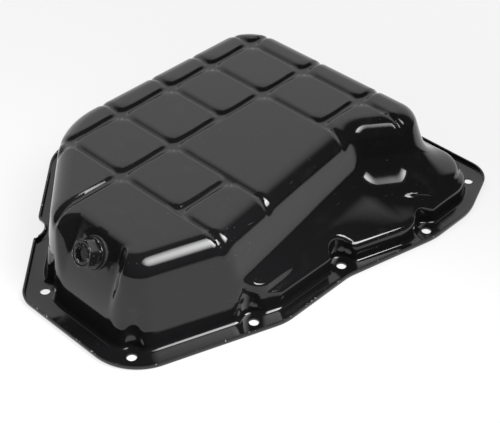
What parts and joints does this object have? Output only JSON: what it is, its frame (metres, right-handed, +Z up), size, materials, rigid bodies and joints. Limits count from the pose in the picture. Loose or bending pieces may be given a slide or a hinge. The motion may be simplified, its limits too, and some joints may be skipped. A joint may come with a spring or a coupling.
{
  "type": "engine oil pan",
  "caption": "Stamped black engine oil pan, flanged and stepped, with a waffle-ribbed bottom and a hexagon drain plug on its sloping end wall.",
  "frame": {"origin": "on the gasket plane, at the middle of the flange's overall length and width", "axes": "+Z up from the gasket face into the pan's depth, +X from the drain end along the length, +Y away from the stepped front"},
  "size_m": [0.3422, 0.2796, 0.07],
  "materials": {
    "pan_paint": "gloss",
    "nut_paint": "gloss",
    "washer_metal": "satin",
    "plug_paint": "gloss"
  },
  "bodies": {
    "pan": {"pan_shell": "pan_paint", "drain_nut": "nut_paint"},
    "washer": {"drain_washer": "washer_metal"},
    "plug": {"drain_plug": "plug_paint"}
  },
  "joints": [
    {"name": "plug_slide", "type": "slide", "parent": "pan", "child": "washer", "axis": [-0.8894, 0, 0.4571], "range_m": [0, 0.0125]},
    {"name": "plug_spin", "type": "hinge", "parent": "washer", "child": "plug", "pos_m": [-0.14035, -0.02565, 0.0555], "axis": [-0.8894, 0, 0.4571], "range_deg": [0, 3000]}
  ],
  "couplings": [
    {"joint": "plug_spin", "follows": "plug_slide", "rad_per_m": 4188.8}
  ]
}
